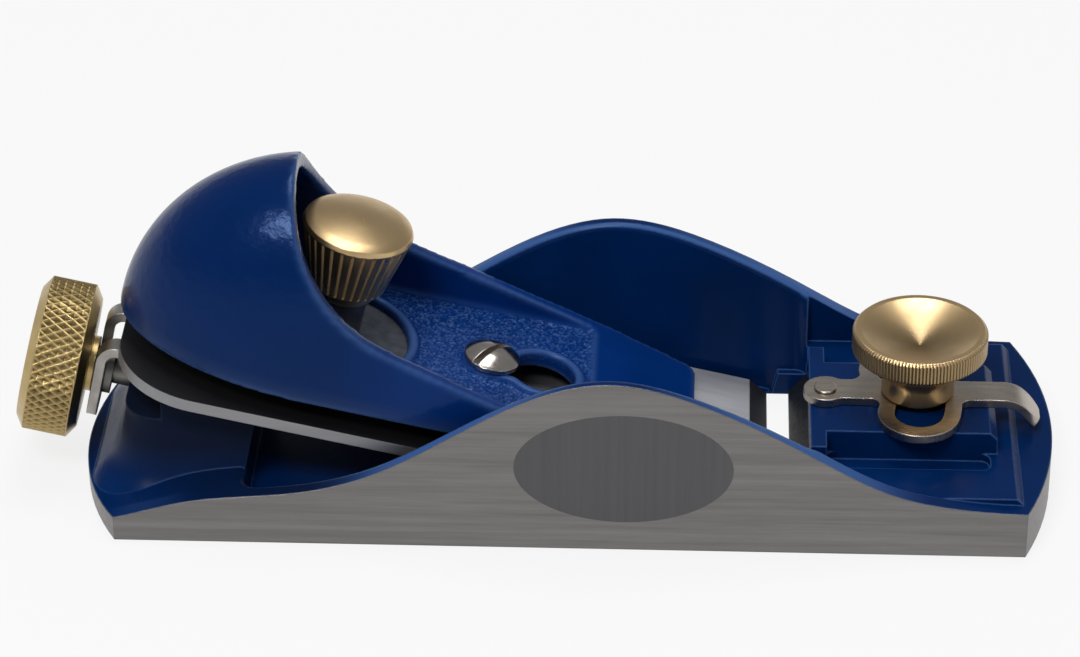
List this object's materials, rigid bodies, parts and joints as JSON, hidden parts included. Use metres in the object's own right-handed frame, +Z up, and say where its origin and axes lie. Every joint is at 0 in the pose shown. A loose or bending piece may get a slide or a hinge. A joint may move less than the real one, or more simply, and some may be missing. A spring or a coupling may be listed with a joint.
{
  "type": "low-angle block plane",
  "caption": "Low-angle block plane with a blue enamelled iron body, palm-hood lever cap, brass knobs, screw depth adjuster and a sliding toe that opens the mouth.",
  "frame": {"origin": "middle of the sole's length and width, on the sole", "axes": "+X along the sole towards the toe, +Y to the left seen from the heel, +Z up from the sole"},
  "size_m": [0.1667, 0.05, 0.055],
  "materials": {
    "enamelled_iron": "gloss blue enamel, with ground bare flanks, sole and ends",
    "enamelled_cap": "gloss blue enamel, stippled panel",
    "ground_iron": "ground, bare",
    "turned_brass": "satin, turned and knurled",
    "plated_steel": "nickel plated",
    "blade_steel": "ground",
    "grey_steel": "turned, dull"
  },
  "bodies": {
    "frame": {"body_casting": "enamelled_iron", "mouth_lever_pin": "plated_steel", "lever_cap_screw": "plated_steel"},
    "cutter_carriage": {"adjuster_slide": "grey_steel", "cutter": "blade_steel", "cutter_drive_pin": "grey_steel"},
    "depth_wheel_set": {"depth_wheel": "turned_brass", "adjuster_spindle": "grey_steel", "spindle_collar": "grey_steel"},
    "mouth_lever_arm": {"mouth_lever": "plated_steel"},
    "sliding_toe": {"toe_plate": "ground_iron"},
    "front_knob_set": {"front_knob": "turned_brass", "front_knob_stud": "grey_steel"},
    "lock_knob_set": {"lock_knob": "turned_brass", "lock_screw": "grey_steel"},
    "cap": {"lever_cap": "enamelled_cap", "lock_nut": "grey_steel"}
  },
  "joints": [
    {"name": "depth_wheel_turn", "type": "hinge", "parent": "cutter_carriage", "child": "depth_wheel_set", "pos_m": [-0.08179, 0, 0.01814], "axis": [0.9744, 0, -0.225], "range_deg": [-1800, 720]},
    {"name": "cutter_depth", "type": "slide", "parent": "frame", "child": "cutter_carriage", "axis": [0.9744, 0, -0.225], "range_m": [-0.004, 0.0016]},
    {"name": "mouth_lever_swing", "type": "hinge", "parent": "frame", "child": "mouth_lever_arm", "pos_m": [0.04135, 0, 0.0132], "axis": [0, 0, 1], "range_deg": [-25, 25]},
    {"name": "toe_slide", "type": "slide", "parent": "frame", "child": "sliding_toe", "axis": [1, 0, 0], "range_m": [-0.0015, 0.0015]},
    {"name": "front_knob_turn", "type": "hinge", "parent": "sliding_toe", "child": "front_knob_set", "pos_m": [0.05605, 0, 0.0147], "axis": [0, 0, 1], "range_deg": [0, 360]},
    {"name": "lock_knob_turn", "type": "hinge", "parent": "frame", "child": "lock_knob_set", "pos_m": [-0.03897, 0, 0.01667], "axis": [0.225, 0, 0.9744], "range_deg": [0, 270]},
    {"name": "cap_rock", "type": "hinge", "parent": "frame", "child": "cap", "pos_m": [-0.00779, 0, 0.01793], "axis": [0, -1, 0], "range_deg": [0, 1.78]}
  ],
  "couplings": [
    {"joint": "depth_wheel_turn", "follows": "cutter_depth", "rad_per_m": 7854},
    {"joint": "mouth_lever_swing", "follows": "toe_slide", "rad_per_m": 290.89},
    {"joint": "cap_rock", "follows": "lock_knob_turn", "ratio": 0.0066094}
  ]
}
